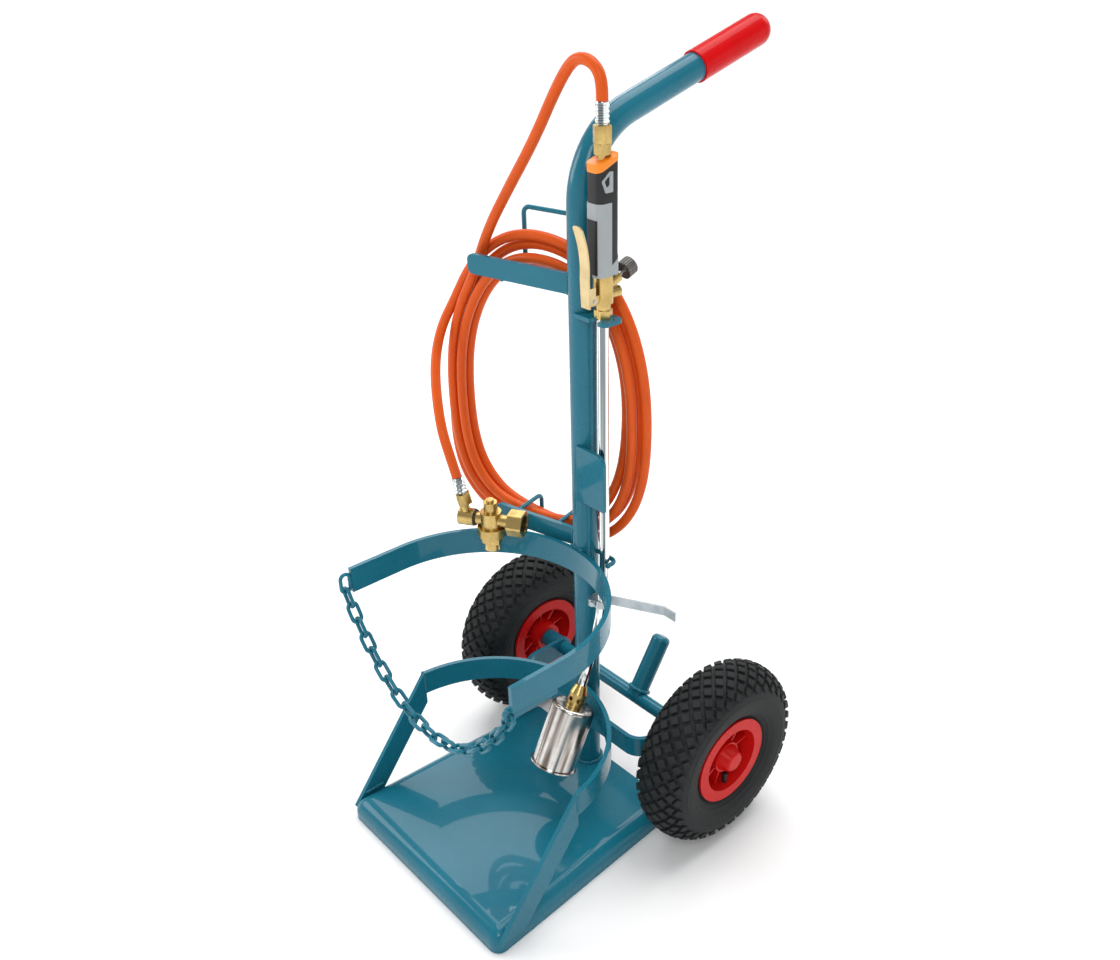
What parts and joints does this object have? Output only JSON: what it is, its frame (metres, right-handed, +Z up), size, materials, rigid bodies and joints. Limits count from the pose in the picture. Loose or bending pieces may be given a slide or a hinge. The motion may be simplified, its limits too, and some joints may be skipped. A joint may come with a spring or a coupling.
{
  "type": "gas torch trolley",
  "caption": "Two-wheeled gas bottle trolley with a tray, hoops, closing chain, hose hanger, coiled gas hose, hand-lever torch with cup burner, and hose-failure valve.",
  "frame": {"origin": "on the floor under the middle of the trolley's length and width, which is under the post's axis", "axes": "+Z up; +Y from the bottle tray towards the handle and the wheels; +X along the axle towards the torch's side; the bottle stands on -Y"},
  "size_m": [0.4919, 0.604, 1.0188],
  "materials": {
    "teal_paint": "glossy",
    "red_rubber": "soft satin",
    "zinc": "zinc plated",
    "tyre_rubber": "matt",
    "red_rim": "glossy",
    "red_cap": "glossy",
    "black_plastic": "matt",
    "grey_plastic": "matt",
    "orange_plastic": "matt",
    "brass": "turned",
    "steel": "satin",
    "chrome": "polished",
    "stainless": "spun",
    "black_rubber": "matt",
    "orange_hose": "satin"
  },
  "bodies": {
    "trolley": {"axle_bar": "zinc", "axle_carrier": "teal_paint", "axle_collars": "teal_paint", "axle_lock_washers": "zinc", "base_tray": "teal_paint", "burner_cup": "stainless", "burner_head": "brass", "chain_hook_plate": "teal_paint", "fitting_body": "brass", "fitting_hose_ferrule": "steel", "fitting_hose_nut": "brass", "fitting_hose_plug": "brass", "fitting_o_ring": "black_rubber", "fitting_outlet": "brass", "handle_grip": "red_rubber", "hose_coil": "orange_hose", "hose_tail": "orange_hose", "hose_top_run": "orange_hose", "kick_tube": "teal_paint", "left_diagonal": "teal_paint", "lower_hanger_bar": "teal_paint", "lower_hanger_wire": "teal_paint", "lower_hoop": "teal_paint", "post_tube": "teal_paint", "right_diagonal": "teal_paint", "stand_bolt": "zinc", "stand_clamp": "zinc", "torch_clip_lower": "teal_paint", "torch_clip_upper": "teal_paint", "torch_coupling": "brass", "torch_end_cap": "orange_plastic", "torch_guard_plate": "teal_paint", "torch_handle": "black_plastic", "torch_handle_pad": "black_plastic", "torch_handle_panel": "grey_plastic", "torch_hose_ferrule": "steel", "torch_hose_nut": "brass", "torch_inlet_nipple": "brass", "torch_lever_pin": "zinc", "torch_neck_tube": "chrome", "torch_valve_body": "brass", "upper_hanger_bar": "teal_paint", "upper_hanger_wire": "teal_paint", "upper_hoop": "teal_paint"},
    "wheel_left": {"wheel_left_tyre": "tyre_rubber", "wheel_left_rim": "red_rim", "wheel_left_bush": "black_plastic", "wheel_left_hub_cap": "red_cap", "wheel_left_valve": "black_plastic"},
    "wheel_right": {"wheel_right_tyre": "tyre_rubber", "wheel_right_rim": "red_rim", "wheel_right_bush": "black_plastic", "wheel_right_hub_cap": "red_cap", "wheel_right_valve": "black_plastic"},
    "chain": {"chain_links": "teal_paint"},
    "squeeze_lever": {"torch_lever": "brass"},
    "gas_valve": {"torch_valve_stem": "steel", "torch_valve_knob": "black_plastic"},
    "stand": {"stand_leg": "zinc"},
    "union_nut": {"fitting_union_nut": "brass"}
  },
  "joints": [
    {"name": "wheel_left_spin", "type": "hinge", "parent": "trolley", "child": "wheel_left", "pos_m": [-0.19, 0.0587, 0.13], "axis": [1, 0, 0], "continuous": true},
    {"name": "wheel_right_spin", "type": "hinge", "parent": "trolley", "child": "wheel_right", "pos_m": [0.19, 0.0587, 0.13], "axis": [1, 0, 0], "continuous": true},
    {"name": "chain_swing", "type": "hinge", "parent": "trolley", "child": "chain", "pos_m": [-0.162, -0.2655, 0.3691], "axis": [0.9986, 0.0297, -0.0448], "range_deg": [-60, 35]},
    {"name": "lever_squeeze", "type": "hinge", "parent": "trolley", "child": "squeeze_lever", "pos_m": [0.039, -0.0225, 0.745], "axis": [-1, 0, 0], "range_deg": [0, 8], "stiffness_Nm_per_rad": 0.6, "springref_deg": -14.32},
    {"name": "gas_valve_turn", "type": "hinge", "parent": "trolley", "child": "gas_valve", "pos_m": [0.039, -0.003, 0.7555], "axis": [0, 0.9272, 0.3746], "range_deg": [0, 900]},
    {"name": "stand_fold", "type": "hinge", "parent": "trolley", "child": "stand", "pos_m": [0.02361, -0.00384, 0.325], "axis": [-0.454, 0.891, 0], "range_deg": [0, 80]},
    {"name": "union_nut_spin", "type": "hinge", "parent": "trolley", "child": "union_nut", "pos_m": [-0.06114, -0.06446, 0.427], "axis": [0.8572, 0.515, 0], "continuous": true}
  ]
}
